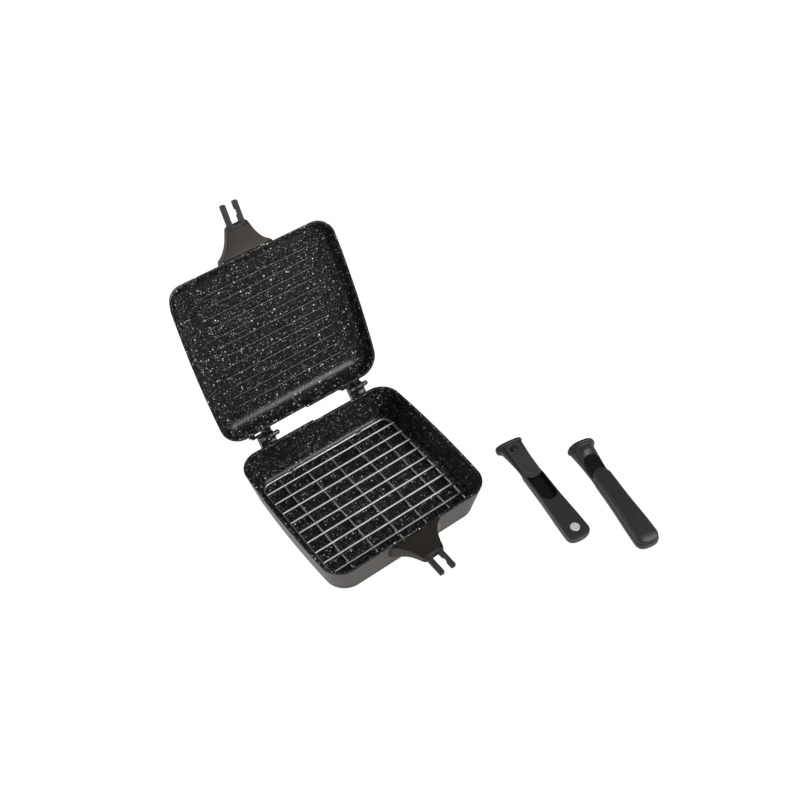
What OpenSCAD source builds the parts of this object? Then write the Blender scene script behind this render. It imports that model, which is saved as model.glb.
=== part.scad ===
// Double sided flip pan: a deep base pan and a shallow ridged lid pan on a
// separable two-pin hinge, a lift-out wire rack, and two detachable handles.
// Millimetres, +Z up. Origin at the centre of the base pan's flat bottom.
// +X runs along the hinge axis, +Y points to the hinge, -Y to the handle side.
// The rest pose has the lid leaning back on its stop, the handles lying beside.

/* [Pans] */
// Width of both pans along the hinge, at the bulged middle of their sides
pan_w = 190; // [180:1:200]
// Depth of both pans from hinge side to handle side
pan_d = 177; // [168:1:186]
// Bulge of the two sides away from a straight line
side_bow = 3.1; // [0.5:0.1:5]
// Corner radius of the rim, seen from above
corner_r = 21; // [17:0.5:26]
// Height of the mean mating plane above the table
mate_z = 42.5; // [40:0.5:48]
// Height of the step where one half of the rim stands proud
rim_step = 2; // [1.6:0.2:3]
// Gap between the two rims when closed
rim_gap = 0.4; // [0.3:0.05:1]
// Wall thickness of the rims
rim_t = 3.2; // [2.6:0.1:4]
// Floor thickness of the base pan
floor_t = 3; // [2.5:0.1:4]
// Inset of the base pan's foot against its rim, on each side
base_draft = 8.2; // [6:0.1:10]
// Depth of the lid's cooking face below the mating plane
lid_depth = 18.2; // [15:0.1:22]
// Thickness of the lid's top plate
lid_t = 3.4; // [3:0.1:4]

/* [Ridges] */
// Number of raised griddle ridges in the lid
ridge_n = 12; // [6:1:13]
// Spacing of the ridges
ridge_pitch = 10.9; // [9:0.1:11]
// Length of one ridge
ridge_len = 134; // [110:1:136]
// Height of one ridge
ridge_h = 1.3; // [0.8:0.1:2]

/* [Hinge] */
// Distance of the hinge axis behind the middle of the pan
hinge_y = 96.5; // [96:0.1:100]
// Height of the hinge axis above the table
hinge_z = 43.9; // [43.5:0.1:45]
// Opening angle of the lid at its stop
open_deg = 114.3; // [95:0.1:116]
// Radius of the hinge pins
pin_r = 2.5; // [2:0.1:2.6]
// Outer radius of the knuckles
knuckle_r = 4.9; // [4.7:0.1:5.2]
// Radial running clearance of the pins
pin_gap = 0.06; // [0.04:0.01:0.1]

/* [Rack] */
// Half width of the rack's border wire, to its centre
rack_x = 78.5; // [70:0.5:79]
// Half depth of the rack's border wire, to its centre
rack_y = 72; // [65:0.5:72]
// Diameter of the border wire
border_d = 3; // [2.5:0.1:3.4]
// Diameter of the long wires
long_d = 2.5; // [2:0.1:3]
// Diameter of the cross wires
cross_d = 2; // [1.6:0.1:2.4]
// Spacing of the long wires
long_pitch = 14.65; // [12:0.05:15.5]
// Number of long wires
long_n = 9; // [5:1:9]
// Spacing of the cross wires
cross_pitch = 29; // [24:0.5:34]
// Number of cross wires
cross_n = 5; // [3:2:5]

/* [Handle fork] */
// Distance between the centres of the two prongs
prong_gap = 13; // [12:0.1:14]
// Width of a prong
prong_w = 5.4; // [4.8:0.1:5.5]
// Thickness of the fork
fork_t = 3.4; // [3:0.1:3.6]
// Length of the prongs beyond the bracket
prong_len = 21; // [18:0.1:22]
// Width of the bracket's face at its end
bracket_w = 22; // [20:0.5:24]
// Reach of the bracket beyond the rim
bracket_l = 28.6; // [26:0.1:31]

/* [Handles] */
// Length of a handle from its flange to its tail
handle_l = 134; // [130:1:138]
// Width of the flange
flange_w = 31; // [30:0.5:33]
// Height of the flange above the flat inner face
flange_h = 18.4; // [17:0.1:19.5]
// Diameter of the magnet in the inner face
magnet_d = 10; // [8:0.5:11]
// Place of the left handle's flange on the table, along X
left_x = 153.3; // [140:0.1:180]
// Place of the left handle's flange on the table, along Y
left_y = -40.5; // [-60:0.1:-20]
// Heading of the left handle on the table
left_deg = -97.6; // [-130:0.1:-60]
// Place of the right handle's flange on the table, along X
right_x = 213.1; // [205:0.1:240]
// Place of the right handle's flange on the table, along Y
right_y = -86.5; // [-110:0.1:-60]
// Heading of the right handle on the table
right_deg = -102.1; // [-115:0.1:-95]

/* [Hidden] */
$fn = 48;

ha = pan_w / 2;                 // half width at the bulged middle
hb = pan_d / 2;                 // half depth
low_z = mate_z - rim_step / 2;  // top of the low half of the base rim
high_z = mate_z + rim_step / 2; // top of the raised half
lid_in = mate_z + lid_depth;    // lid's cooking face, in the closed pose
lid_out = lid_in + lid_t;       // lid's outer face, in the closed pose
face_z = mate_z - 2.35;          // face of the base bracket
fork_z = face_z - 1.2 - fork_t / 2; // middle plane of the base fork
end_y = -hb - bracket_l;        // end of the bracket
knuckles = [[-59.5, 7], [50.3, 7]];   // base knuckles: start, length
ears = [[-51.9, 9.5], [57.9, 9.5]];   // lid ears
pins = [[-59.5, 23.8], [50.3, 23.8]]; // pins: start, length
screws_x = [-6, 6];              // fork screws, across
pivot = [44, 7.5];              // release lever's pivot, along and up
cover_z = 6.6;                  // seam between handle body and grip cover

BRONZE = [0.33, 0.31, 0.29];
BLACK = [0.10, 0.10, 0.10];
STEEL = [0.80, 0.80, 0.80];

// ---------- shared functions ----------

// slope of a table of [u, value] rows at row i
function slope(T, i) = let (a = max(0, i - 1), b = min(len(T) - 1, i + 1)) (T[b][1] - T[a][1]) / (T[b][0] - T[a][0]);
// value at u in a table, as a smooth curve through its rows
function tab(T, u, i = 0) =
    u <= T[0][0] ? T[0][1] :
    i >= len(T) - 1 ? T[len(T) - 1][1] :
    u <= T[i + 1][0] ?
        let (h = T[i + 1][0] - T[i][0], t = (u - T[i][0]) / h)
            T[i][1] * (1 + 2 * t) * pow(1 - t, 2) + slope(T, i) * h * t * pow(1 - t, 2)
            + T[i + 1][1] * t * t * (3 - 2 * t) - slope(T, i + 1) * h * t * t * (1 - t) :
    tab(T, u, i + 1);

// one ring of the pans: a rounded rectangle inset by d, at height z,
// whose short sides bulge; sides in 4 steps, corners in 8
function ring_side(s) = [for (i = [0:3]) -1 + 2 * i / 4];
function ring(d, z, dr = 0) =
    let (A = ha - side_bow - d, B = hb - d, r = max(4, corner_r - dr),
         bow = function (p) [p[0] + sign(p[0]) * side_bow * max(0, 1 - pow(p[1] / B, 2)) * min(1, abs(p[0]) / (A - r)), p[1], z],
         raw = concat(
            [for (s = ring_side(0)) [A, s * (B - r)]],
            [for (i = [0:8]) let (t = 90 * i / 8) [A - r + r * cos(t), B - r + r * sin(t)]],
            [for (i = [1:3]) let (s = 1 - 2 * i / 4) [s * (A - r), B]],
            [for (i = [0:8]) let (t = 90 + 90 * i / 8) [-A + r + r * cos(t), B - r + r * sin(t)]],
            [for (i = [1:3]) let (s = 1 - 2 * i / 4) [-A, s * (B - r)]],
            [for (i = [0:8]) let (t = 180 + 90 * i / 8) [-A + r + r * cos(t), -B + r + r * sin(t)]],
            [for (i = [1:3]) let (s = -1 + 2 * i / 4) [s * (A - r), -B]],
            [for (i = [0:7]) let (t = 270 + 90 * i / 8) [A - r + r * cos(t), -B + r + r * sin(t)]]))
    [for (p = raw) bow(p)];

// the same ring the other way round
function rev(r) = [for (i = [len(r) - 1:-1:0]) r[i]];
// a skin over a list of rings, closed by a cap at each end
module skin(R) {
    n = len(R[0]);
    m = len(R);
    polyhedron(points = [for (r = R) each r],
        faces = concat(
            [[for (i = [0:n - 1]) i]],
            [for (j = [0:m - 2]) for (i = [0:n - 1]) let (k = (i + 1) % n) each
                [[j * n + i, (j + 1) * n + i, (j + 1) * n + k], [j * n + i, (j + 1) * n + k, j * n + k]]],
            [[for (i = [n - 1:-1:0]) (m - 1) * n + i]]),
        convexity = 8);
}

// ---------- base pan ----------

foot_r = 6;   // rounding of the outer foot
cove_b = 9;   // cove between the base's wall and floor
// inset of the outer wall at height z
function wall(z) = base_draft * (1 - z / mate_z);

function base_rings() = concat(
    [for (i = [0:4]) let (t = 90 * i / 4) ring(wall(foot_r) + foot_r * (1 - sin(t)), foot_r * (1 - cos(t)), foot_r * (1 - sin(t)))],
    [ring(wall(mate_z / 2), mate_z / 2), ring(0.2, high_z - 1.4), ring(0.1, high_z - 0.4), ring(0.6, high_z)],
    [ring(rim_t - 0.6, high_z, 3), ring(rim_t - 0.05, high_z - 0.5, 3), ring(rim_t + 0.3, high_z - 2, 3)],
    [for (i = [0:5]) let (t = 90 * i / 5)
        ring(wall(floor_t + cove_b) + rim_t - 0.4 + cove_b * (1 - cos(t)), floor_t + cove_b * (1 - sin(t)), 3 + cove_b * (1 - cos(t)))]);

// half width of the bracket over its end's, at distance s from its end
FLARE = [[0, 0], [4, 1.4], [9, 2.9], [14, 4.9], [18, 7], [22, 9.8], [25.5, 13], [28.6, 17.6]];
// outline of the bracket at height z, grown by g
function bracket_ring(z, g) =
    let (N = 12, w = bracket_w / 2, S = [for (i = [1:N]) bracket_l * i / N], e = end_y - g)
    concat(
        [for (a = [0:30:90]) [w - 2 + 2.3 * sin(a) + g, e + 2.3 * (1 - cos(a)), z]],
        [for (s = S) if (s > 2.4) [w + tab(FLARE, s) + g, end_y + s, z]],
        [[24, -hb + 8, z], [-24, -hb + 8, z]],
        [for (i = [N - 1:-1:0]) if (S[i] > 2.4) [-w - tab(FLARE, S[i]) - g, end_y + S[i], z]],
        [for (a = [90:-30:0]) [-w + 2 - 2.3 * sin(a) - g, e + 2.3 * (1 - cos(a)), z]]);

// the cast bracket, its face up at face_z; deeper towards the pan
module bracket(deep) {
    intersection() {
        skin([bracket_ring(face_z - 22, 0.9), bracket_ring(face_z - 0.8, 0.3), bracket_ring(face_z + 1.2, -1.2)]);
        rotate([90, 0, 90]) linear_extrude(height = 90, center = true)
            polygon([[end_y - 5, face_z], [end_y - 5, face_z - 7.2], [end_y + 1, face_z - 7.4], [end_y + 9, face_z - 8.6 - deep * 0.6],
                     [end_y + 18, face_z - 9.4 - deep * 2.6], [-hb - 3, face_z - 10 - deep * 5.5], [-hb + 6, face_z - 11 - deep * 8],
                     [-hb + 8, face_z - 11 - deep * 8], [-hb + 8, face_z]]);
    }
}

// slot for the fork's plate, open at the bracket's end, with its screw holes
module fork_pocket() {
    translate([-10.25, end_y - 4, fork_z - fork_t / 2 - 0.04]) cube([20.5, 16.05, fork_t + 0.08]);
    translate([-10.25, end_y - 4, fork_z]) cube([20.5, 8.2, 30]);
    for (x = screws_x) translate([x, end_y + 8, 0]) {
        translate([0, 0, fork_z - 12]) cylinder(r = 1.55, h = 12);
        translate([0, 0, fork_z - 22]) cylinder(r = 2.9, h = 22 - fork_t / 2 - 2.3);
    }
}

module knuckle(k) {
    // barrel with a web back to the wall under the rim
    difference() {
        union() {
            translate([k[0], hinge_y, hinge_z]) rotate([0, 90, 0]) cylinder(r = knuckle_r, h = k[1]);
            translate([k[0], 0, 0]) rotate([90, 0, 90]) linear_extrude(height = k[1])
                polygon([[hb - 2.6, mate_z - 2.6], [hinge_y - 2.5, mate_z - 0.7], [hinge_y + 3.4, hinge_z - 3.5],
                         [hinge_y - 1, hinge_z - 9], [hb - 4.8, mate_z - 18.1]]);
        }
        translate([k[0] - 1, hinge_y, hinge_z]) rotate([0, 90, 0]) cylinder(r = pin_r + pin_gap, h = k[1] + 2);
    }
}

module base_pan() {
    color(BRONZE) difference() {
        union() {
            difference() {
                skin(base_rings());
                // low half of the rim
                translate([0.15, -hb - 1, low_z]) cube([ha + 1, 2 * hb + 2, 20]);
            }
            difference() {
                bracket(1);
                // keep the bracket out of the cooking space
                skin([ring(base_draft + 0.5, -1, 6), ring(1.6, mate_z + 4.1, 1)]);
            }
            for (k = knuckles) knuckle(k);
        }
        fork_pocket();
    }
}

// ---------- lid pan, modelled closed and then opened ----------

module opened() {
    translate([0, hinge_y, hinge_z]) rotate([-open_deg, 0, 0]) translate([0, -hinge_y, -hinge_z]) children();
}

lid_draft = 5.5;
cove_l = 13;
lid_low = low_z + rim_gap;

function lid_rings() = concat(
    [for (i = [0:4]) let (t = 90 * i / 4) ring(lid_draft + 7 - 7 * sin(t), lid_out - 7 * (1 - cos(t)), 4 + 5 * cos(t))],
    [ring(0.5, lid_low + 1.2), ring(0.15, lid_low + 0.35), ring(0.6, lid_low)],
    [ring(rim_t - 0.6, lid_low, 3), ring(rim_t - 0.05, lid_low + 0.5, 3), ring(rim_t + 0.4, lid_low + 3, 3)],
    [for (i = [0:5]) let (t = 90 * i / 5)
        ring(rim_t + 2.2 + (cove_l + 2) * (1 - cos(t)), lid_in - cove_l * (1 - sin(t)), 5 + 8 * sin(t))]);

// one raised ridge, tapered at its sides and ends
module ridge(y) {
    l = ridge_len / 2;
    translate([0, y, 0]) polyhedron(
        points = [[-l, -1.7, lid_in + 0.6], [l, -1.7, lid_in + 0.6], [l, 1.7, lid_in + 0.6], [-l, 1.7, lid_in + 0.6],
                  [-l + 3, -0.7, lid_in - ridge_h], [l - 3, -0.7, lid_in - ridge_h], [l - 3, 0.7, lid_in - ridge_h], [-l + 3, 0.7, lid_in - ridge_h]],
        faces = [[3, 2, 1, 0], [4, 5, 6, 7], [0, 1, 5, 4], [1, 2, 6, 5], [2, 3, 7, 6], [3, 0, 4, 7]]);
}

// lid ear: a ring round the pin, an arm to the lid's rim, and a heel that
// stops against the base's wall when the lid is open
module ear(e) {
    difference() {
        union() {
            translate([e[0], hinge_y, hinge_z]) rotate([0, 90, 0]) cylinder(r = knuckle_r, h = e[1]);
            translate([e[0], 0, 0]) rotate([90, 0, 90]) linear_extrude(height = e[1])
                polygon([[hb - 2.2, mate_z + 3.1], [hb - 4.5, mate_z + 16.1], [hinge_y - 3, mate_z + 11.6],
                         [hinge_y + 3.6, hinge_z + 3.3], [hinge_y + 4.6, hinge_z - 1.6], [hinge_y - 1.5, hinge_z + 0.5],
                         [hinge_y - 4.4, mate_z + 3.1]]);
            // heel, drawn as it lies at the stop and turned back to the closed pose
            translate([e[0], hinge_y, hinge_z]) rotate([open_deg, 0, 0]) rotate([90, 0, 90]) linear_extrude(height = e[1])
                polygon([[0, -4.85], [0, 3.2], [-(hinge_y - hb) + 0.35, -3.2], [-(hinge_y - hb) + 0.7, -6.6], [-3.6, -7.2]]);
        }
        translate([e[0] - 1, hinge_y, hinge_z]) rotate([0, 90, 0]) cylinder(r = pin_r + pin_gap, h = e[1] + 2);
    }
}

// strap from each ear past the base knuckle, joined to the lid at its far end
module ear_bar(e) {
    z = mate_z + 7.3;
    translate([e[0] - 14.6, hb - 3, z]) cube([6.6, 7.8, 1.7]);
    translate([e[0] - 12, hb + 4, z]) cube([12.5, 2.7, 1.7]);
}

module lid_pan() {
    color(BRONZE) opened() difference() {
        union() {
            difference() {
                skin([for (r = lid_rings()) rev(r)]);
                // low half of the lid's rim
                translate([-ha - 1, -hb - 1, lid_low - 20]) cube([ha + 1.45, 2 * hb + 2, 20 + rim_step]);
            }
            for (i = [0:ridge_n - 1]) ridge((i - (ridge_n - 1) / 2) * ridge_pitch - 0.6);
            translate([0, 0, 2 * mate_z + rim_gap]) mirror([0, 0, 1]) difference() {
                bracket(0);
                skin([ring(lid_draft + 6, mate_z - lid_depth - 3, 8), ring(1.6, mate_z + 4.1, 1)]);
            }
            for (e = ears) { ear(e); ear_bar(e); }
        }
        translate([0, 0, 2 * mate_z + rim_gap]) mirror([0, 0, 1]) fork_pocket();
    }
}

// ---------- forks ----------

// one prong's outline, its notch on the inner side when notch is 1
module prong(side, notch) {
    translate([side * prong_gap / 2, end_y]) difference() {
        union() {
            translate([-prong_w / 2, -prong_len + 1.4]) square([prong_w, prong_len + 2.6]);
            translate([-prong_w / 2 + 1.3, -prong_len]) square([prong_w - 2.6, 4]);
            for (x = [-1, 1]) translate([x * (prong_w / 2 - 1.4), -prong_len + 1.4]) circle(r = 1.4, $fn = 24);
        }
        if (notch == 1) translate([-side * (prong_w / 2 + 0.01), 0])
            polygon([[-1, -6.2], [side * 1.25, -7.2], [side * 1.25, -11.4], [-1, -13.2]]);
    }
}

module fork() {
    difference() {
        translate([0, 0, fork_z - fork_t / 2]) linear_extrude(height = fork_t) union() {
            translate([-10.2, end_y + 1.2]) square([20.4, 10.8]);
            prong(1, 1);
            prong(-1, 0);
        }
        for (x = screws_x) translate([x, end_y + 8, fork_z - 20]) cylinder(r = 1.5, h = 40);
    }
}

module base_fork() { color(BLACK) fork(); }
module lid_fork() { color(BLACK) opened() translate([0, 0, 2 * mate_z + rim_gap]) mirror([0, 0, 1]) fork(); }

// screws up through the bracket's underside into the fork's plate
module fork_screws() {
    for (x = screws_x) translate([x, end_y + 8, fork_z]) {
        translate([0, 0, -fork_t / 2 - 2.4]) cylinder(r = 1.47, h = fork_t + 2.1);
        difference() {
            union() {
                translate([0, 0, -fork_t / 2 - 3.3]) cylinder(r = 2.7, h = 0.98);
                translate([0, 0, -fork_t / 2 - 3.7]) cylinder(r1 = 2.1, r2 = 2.7, h = 0.41);
            }
            for (a = [0, 90]) rotate([0, 0, a]) translate([-1.6, -0.3, -fork_t / 2 - 4]) cube([3.2, 0.6, 1]);
        }
    }
}
module base_fork_screws() { color(BLACK) fork_screws(); }
module lid_fork_screws() { color(BLACK) opened() translate([0, 0, 2 * mate_z + rim_gap]) mirror([0, 0, 1]) fork_screws(); }

// ---------- hinge pins ----------

module hinge_pins() {
    color(BRONZE) for (p = pins) translate([p[0], hinge_y, hinge_z]) rotate([0, 90, 0]) {
        cylinder(r = pin_r, h = p[1] - 1.4);
        translate([0, 0, p[1] - 1.4]) cylinder(r1 = pin_r, r2 = pin_r - 1.1, h = 1.4);
    }
}

// ---------- rack ----------

rack_dip = 1.9;   // depth of the vees that the rack stands on

rack_z = floor_t + border_d / 2 + rack_dip;  // centre height of the border wire
long_z = rack_z + border_d / 2 + long_d / 2 - 0.12;
cross_z = long_z - long_d / 2 - cross_d / 2 + 0.12;
rack_r = 9;

module bar_x(x0, x1, y, z, d) { translate([x0, y, z]) rotate([0, 90, 0]) cylinder(d = d, h = x1 - x0, $fn = 24); }
module bar_y(y0, y1, x, z, d) { translate([x, y0, z]) rotate([-90, 0, 0]) cylinder(d = d, h = y1 - y0, $fn = 24); }

// a leg: the border wire dips in a shallow vee and stands where the cove meets the floor
vee_w = 4.2;
function vee_ring(x, y, u) =
    let (D = rack_dip - 0.35, t = 180 * min(1, abs(u) / vee_w), r = (border_d / 2 + 0.03) / cos(15),
         s = (u < 0 ? -1 : 1) * atan(D * sin(t) * PI / (2 * vee_w)))
    [for (a = [15:30:345]) [x + u - r * sin(a) * sin(s), y + r * cos(a), rack_z - D * (1 + cos(t)) / 2 + r * sin(a) * cos(s)]];
VEE_U = concat([-vee_w - 0.8], [for (i = [-6:6]) i * vee_w / 6], [vee_w + 0.8]);
module vee(x, y) skin([for (u = VEE_U) vee_ring(x, y, u)]);

module rack_border() {
    color(STEEL) {
        for (sx = [-1, 1]) {
            bar_y(-rack_y + rack_r, rack_y - rack_r, sx * rack_x, rack_z, border_d);
            for (sy = [-1, 1]) translate([sx * (rack_x - rack_r), sy * (rack_y - rack_r), rack_z])
                rotate([0, 0, sx > 0 ? (sy > 0 ? 0 : -90) : (sy > 0 ? 90 : 180)])
                rotate_extrude(angle = 90, $fn = 64) translate([rack_r, 0]) circle(d = border_d, $fn = 24);
        }
        for (sy = [-1, 1]) {
            bar_x(-rack_x + rack_r, -42.5 - vee_w - 0.3, sy * rack_y, rack_z, border_d);
            bar_x(-42.5 + vee_w + 0.3, 42.5 - vee_w - 0.3, sy * rack_y, rack_z, border_d);
            bar_x(42.5 + vee_w + 0.3, rack_x - rack_r, sy * rack_y, rack_z, border_d);
            for (x = [-42.5, 42.5]) vee(x, sy * rack_y);
        }
    }
}
module rack_long_wires() {
    color(STEEL) for (i = [0:long_n - 1]) let (y = (i - (long_n - 1) / 2) * long_pitch,
            e = rack_x + border_d / 2 - 0.3 - (abs(y) > rack_y - rack_r ? rack_r - sqrt(pow(rack_r, 2) - pow(abs(y) - rack_y + rack_r, 2)) : 0))
        bar_x(-e, e, y, long_z, long_d);
}
module rack_cross_wires() {
    color(STEEL) for (i = [0:cross_n - 1]) bar_y(-rack_y + border_d / 2 - 0.12, rack_y - border_d / 2 + 0.12, (i - (cross_n - 1) / 2) * cross_pitch, cross_z, cross_d);
}

// ---------- handles: along +X from the flange, flat inner face at z = 0 ----------

// half width, underside, top and roundness of the body along the handle
HW = [[0, 13.4], [5, 13], [20, 11.5], [36, 10.6], [52, 10.3], [80, 10.6], [108, 12], [handle_l - 9, 12.6]];
UNDER = [[0, 1.4], [44, 1.4], [53, 0], [handle_l, 0]];
TOP = [[0, 16.4], [8, 15.8], [18, 13.2], [27, 9.2], [33.3, cover_z], [34.3, cover_z], [handle_l, cover_z]];
EXPO = [[0, 2.3], [20, 2.6], [38, 5], [48, 9], [handle_l, 9]];
tail_r = 10.5;
// the tail is a blunt oval in plan: factor on the half width near the end
function blunt(t) = pow(max(0.012, 1 - pow(max(0, t), 3)), 1 / 3);
function tail_f(u) = blunt((u - handle_l + tail_r) / tail_r);

// closed section at u: flat below, rounded above, 26 points
function section(u, hw, z0, z1, e, ch) =
    let (N = 18)
    rev(concat(
        [[u, -hw + ch, z0], [u, -hw + ch * 0.3, z0 + ch * 0.3]],
        [[u, -hw, z0 + ch]],
        [for (i = [0:N]) let (t = 180 * i / N, c = cos(t), s = sin(t))
            [u, -hw * sign(c) * pow(abs(c), 2 / e), z0 + ch + 0.4 + (z1 - z0 - ch - 0.4) * pow(max(0, s), 2 / e)]],
        [[u, hw, z0 + ch], [u, hw - ch * 0.3, z0 + ch * 0.3], [u, hw - ch, z0]]));

BODY_U = concat([2, 6, 10, 14, 18, 21, 24, 27, 30, 32, 33.3, 34.3, 41, 45, 48.5, 52, 60, 70, 80, 90, 101, 112, 120],
    [for (a = [0:15:75]) handle_l - tail_r + tail_r * sin(a)], [handle_l - 0.15, handle_l - 0.05]);
function body_rings() = [for (u = BODY_U) section(u, tab(HW, u) * tail_f(u), tab(UNDER, u), tab(TOP, u), tab(EXPO, u), 1.3 * max(0.15, tail_f(u)))];

// the flange: an oval, flatter along the inner face, with a rounded lip
function flange_ring(u, g) =
    let (N = 20, hw = flange_w / 2 - g, h = flange_h - g)
    rev(concat(
        [for (i = [0:N]) let (t = 180 * i / N, c = cos(t), s = sin(t))
            [u, -hw * sign(c) * pow(abs(c), 2 / 2.6), 5.5 + (h - 5.5) * pow(max(0, s), 2 / 2.3)]],
        [for (i = [1:N - 1]) let (t = 180 * i / N, c = cos(t), s = sin(t))
            [u, hw * sign(c) * pow(abs(c), 2 / 2.6), 5.5 - (5.5 - g) * pow(max(0, s), 2 / 2.6)]]));

// outline of the slot that holds the release lever, rounded at both ends
module lever_slot(g = 0) {
    union() {
        translate([24.9, -8.9 - g]) square([49.2, 17.8 + 2 * g]);
        translate([24.9, 0]) circle(r = 8.9 + g);
        translate([74.1, 0]) circle(r = 8.9 + g);
    }
}

// outline of the neck cover: a little wider to its tail end, which is a shallow arc
module strap(g = 0) {
    intersection() {
        polygon([[5.4 - g, -8.4 - g], [46, -9.3 - g], [54, -9.3 - g], [54, 9.3 + g], [46, 9.3 + g], [5.4 - g, 8.4 + g]]);
        union() {
            translate([0, -20]) square([39, 40]);
            translate([38, 0]) circle(r = 14 + g);
        }
    }
}

module handle_body() {
    difference() {
        union() {
            skin(body_rings());
            skin([flange_ring(0, 0.9), flange_ring(0.5, 0.25), flange_ring(1.3, 0), flange_ring(2.9, 0), flange_ring(3.8, 0.5), flange_ring(4.3, 1.6)]);
        }
        // slot for the release lever, right through
        difference() {
            union() {
                translate([0, 0, -1]) linear_extrude(height = 30) lever_slot();
                translate([25.3, 0, 10.6]) cylinder(r1 = 8.7, r2 = 14.36, h = 5);
            }
            translate([11.3, 0, 0]) cylinder(r = 2.3, h = 9);
        }
        // socket for the fork's prongs, with the screw boss left standing in it
        difference() {
            translate([-1, -9.3, 3.8]) cube([23, 18.6, 3.8]);
            translate([11.3, 0, 0]) cylinder(r = 2.3, h = 9);
        }
        // room for the lever's catch beside the boss
        translate([6.4, 2.35, 1]) cube([12, 3.1, 7]);
        // seat of the neck cover
        translate([0, 0, -1]) linear_extrude(height = 3.45) strap(0.15);
        // screw hole in the boss, magnet pocket, lever pin holes
        translate([11.3, 0, -1]) cylinder(r = 1.25, h = 8.5);
        translate([121.2, 0, -1]) cylinder(r = magnet_d / 2 + 0.05, h = 4.05);
        translate([pivot[0], -9.8, pivot[1] - 2.4]) rotate([-90, 0, 0]) cylinder(r = 1.53, h = 19.6);
    }
}

// crowned cover over the back of the grip, with a rounded nose
CROWN = [[34.5, 11], [44, 12.2], [58, 13.1], [95, 13.8], [116, 13.5], [handle_l - 8, 12.7], [handle_l, 10.4]];
nose_r = 11;
function cover_f(u) = min(u < 34.5 + nose_r ? sqrt(max(0.02, 1 - pow((34.5 + nose_r - u) / nose_r, 2))) : 1,
    blunt((u - handle_l + 0.8 + tail_r) / tail_r));
COVER_U = concat([34.6, 35, 35.8, 37, 38.8, 41, 44, 50, 58, 68, 80, 92, 104, 115],
    [for (a = [0:15:75]) handle_l - 0.8 - tail_r + tail_r * sin(a)], [handle_l - 0.92]);
module grip_cover() {
    difference() {
        skin([for (u = COVER_U) section(u, (tab(HW, u) - 0.6) * cover_f(u), cover_z + 0.02, tab(CROWN, u) - (u < 60 ? 0.5 : 2.2) * (1 - cover_f(u)), 3.6, 0.5 * cover_f(u))]);
        // room for the lever's back end
        translate([0, 0, -9]) linear_extrude(height = 18.5) lever_slot(-0.2);
    }
}

// cover over the neck's inner side
module neck_cover() {
    difference() {
        linear_extrude(height = 2.35) strap();
        // room for the catch when the lever is pressed
        translate([6.4, 2.3, 1.2]) cube([12, 3.2, 3]);
        translate([11.3, 0, -1]) cylinder(r = 4.6, h = 2.2);
        translate([11.3, 0, -1]) cylinder(r = 1.6, h = 6);
    }
}

// rocker: thumb pad in the outer window, finger pad in the inner window
module release_lever() {
    difference() {
        union() {
            intersection() {
                rotate([90, 0, 0]) linear_extrude(height = 30, center = true)
                    polygon([[17.4, 9.9], [17.4, 12], [20, 11.2], [25, 10.4], [31, 9.9], [34.5, 9.2], [47, 9],
                             [53, 8.3], [60, 7], [70, 6.3], [81.2, 6], [81.2, 3.1], [74, 3.9], [66, 4.2], [58, 4], [50, 3.4],
                             [40, 4.1], [25.5, 4.9], [25.5, 9.7]]);
                translate([0, 0, -5]) linear_extrude(height = 40) intersection() { lever_slot(-0.35); translate([17.2, -20]) square([70, 40]); }
            }
            // tongue down between the prongs, and the catch that drops in the notch
            translate([17.6, -3.8, 4.8]) cube([9, 7.6, 5.6]);
            translate([7.4, 2.6, 4.3]) cube([11, 1.1, 1.3]);
            translate([7.4, 2.6, 4.3]) cube([3.6, 2.4, 1.3]);
        }
        translate([pivot[0], -10, pivot[1] - 2.4]) rotate([-90, 0, 0]) cylinder(r = 1.56, h = 20);
        // gap for the spring's coil
        translate([pivot[0] - 4.6, -2.6, 0]) cube([9.2, 5.2, 8.9]);
    }
}

module lever_pin() { translate([pivot[0], -9.7, pivot[1] - 2.4]) rotate([-90, 0, 0]) cylinder(r = 1.5, h = 19.4); }

// torsion spring: a coil round the lever pin, one leg up to the lever and one
// down to the neck cover
coil_r = 2.4;
function turn(x, y, z, c, s, w) = [for (j = [0:5]) let (b = j * 60) [x + w * cos(b) * c, y + w * sin(b), z + w * cos(b) * s]];
function coil(n, r, w, p) = concat(
    [turn(-r, -p * n / 2, 3.6, -1, 0, w)],
    [for (i = [0:n * 14]) let (a = i * 360 / 14 + 180) turn(r * cos(a), -p * n / 2 + p * i / 14, r * sin(a), cos(a), sin(a), w)],
    [turn(-r, p * n / 2, -2.6, -1, 0, w)]);
module lever_spring() { translate([pivot[0], 0, pivot[1] - 2.4]) skin([for (c = coil(3, coil_r, 0.4, 1.1)) rev(c)]); }

module cover_screw() {
    translate([11.3, 0, 0]) difference() {
        union() {
            translate([0, 0, 0.1]) cylinder(r1 = 2.2, r2 = 2.7, h = 0.5);
            translate([0, 0, 0.6]) cylinder(r = 2.7, h = 0.57);
            translate([0, 0, 1.15]) cylinder(r = 1.2, h = 6.05);
        }
        for (a = [0, 90]) rotate([0, 0, a]) translate([-1.5, -0.3, 0]) cube([3, 0.6, 0.7]);
    }
}
module magnet() {
    translate([121.2, 0, 0.05]) cylinder(r1 = magnet_d / 2 - 0.4, r2 = magnet_d / 2, h = 0.4);
    translate([121.2, 0, 0.44]) cylinder(r = magnet_d / 2, h = 2.51);
}

// the left handle lies on its crowned back: tilted, resting on flange and grip
left_tilt = asin((flange_h - 13.5) / (116 - 2.1));
module lay_left() {
    translate([left_x, left_y, 0]) rotate([0, 0, left_deg]) rotate([0, left_tilt, 0]) translate([0, 0, flange_h + 0.08]) rotate([180, 0, 0]) children();
}
// the right handle lies on its flat inner face
module lay_right() { translate([right_x, right_y, 0]) rotate([0, 0, right_deg]) children(); }

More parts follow.
